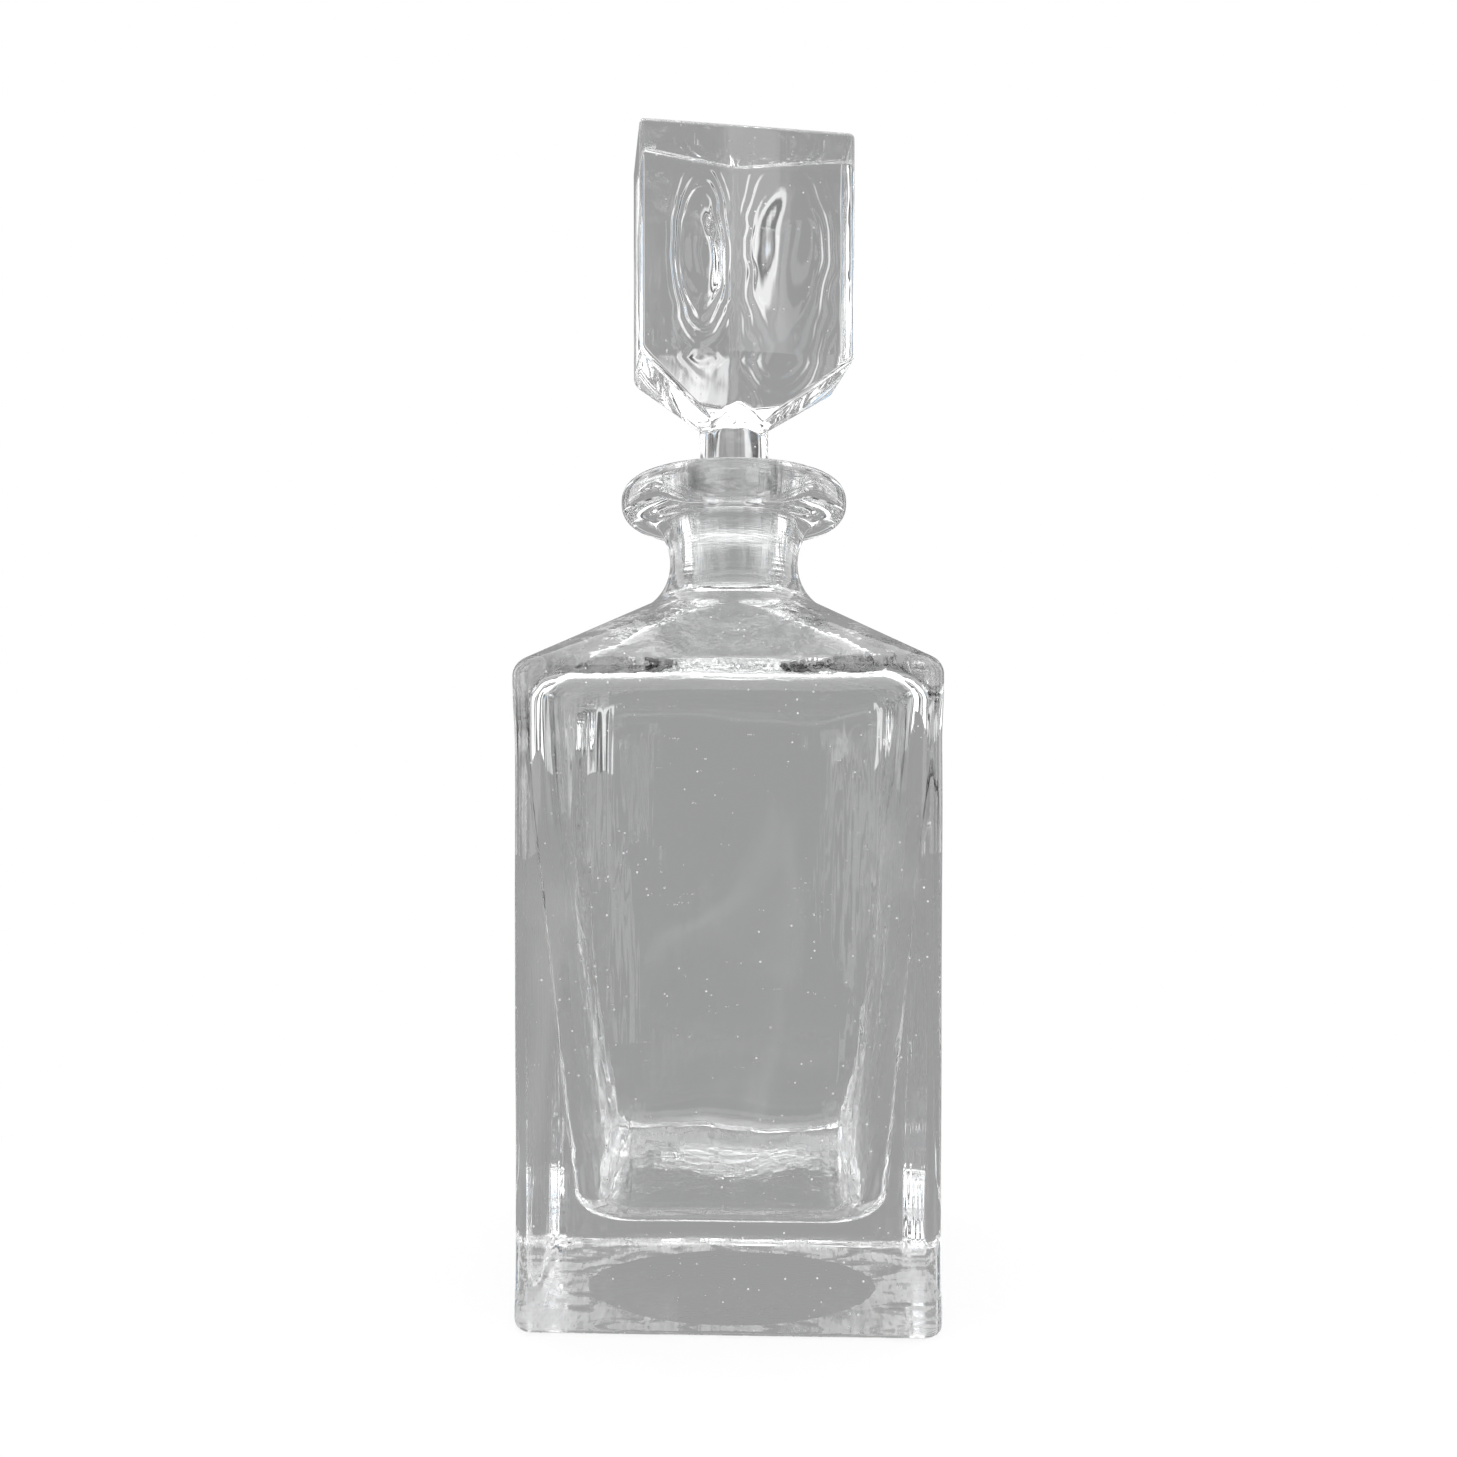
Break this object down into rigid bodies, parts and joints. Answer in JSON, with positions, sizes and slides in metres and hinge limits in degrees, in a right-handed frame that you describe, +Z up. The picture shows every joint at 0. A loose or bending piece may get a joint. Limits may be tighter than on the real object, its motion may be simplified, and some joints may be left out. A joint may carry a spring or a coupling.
{
  "type": "square glass decanter",
  "caption": "Square clear-glass spirit decanter with a heavy base, sloping shoulder, ringed lip and a block stopper that lifts out.",
  "frame": {"origin": "on the table, under the middle of the bottle's base", "axes": "+Z up through the neck, the stopper's flat broad front looks along -Y, turned 9.7 degrees towards +X, +X to the right"},
  "size_m": [0.0914, 0.0914, 0.2714],
  "materials": {
    "clear_glass": "polished clear glass, ground inside the mouth",
    "stopper_glass": "polished clear glass with a ground plug"
  },
  "bodies": {
    "bottle": {"bottle": "clear_glass"},
    "stopper": {"stopper": "stopper_glass"}
  },
  "joints": [
    {"name": "stopper_lift", "type": "slide", "parent": "bottle", "child": "stopper", "axis": [0, 0, 1], "range_m": [0, 0.06]}
  ]
}
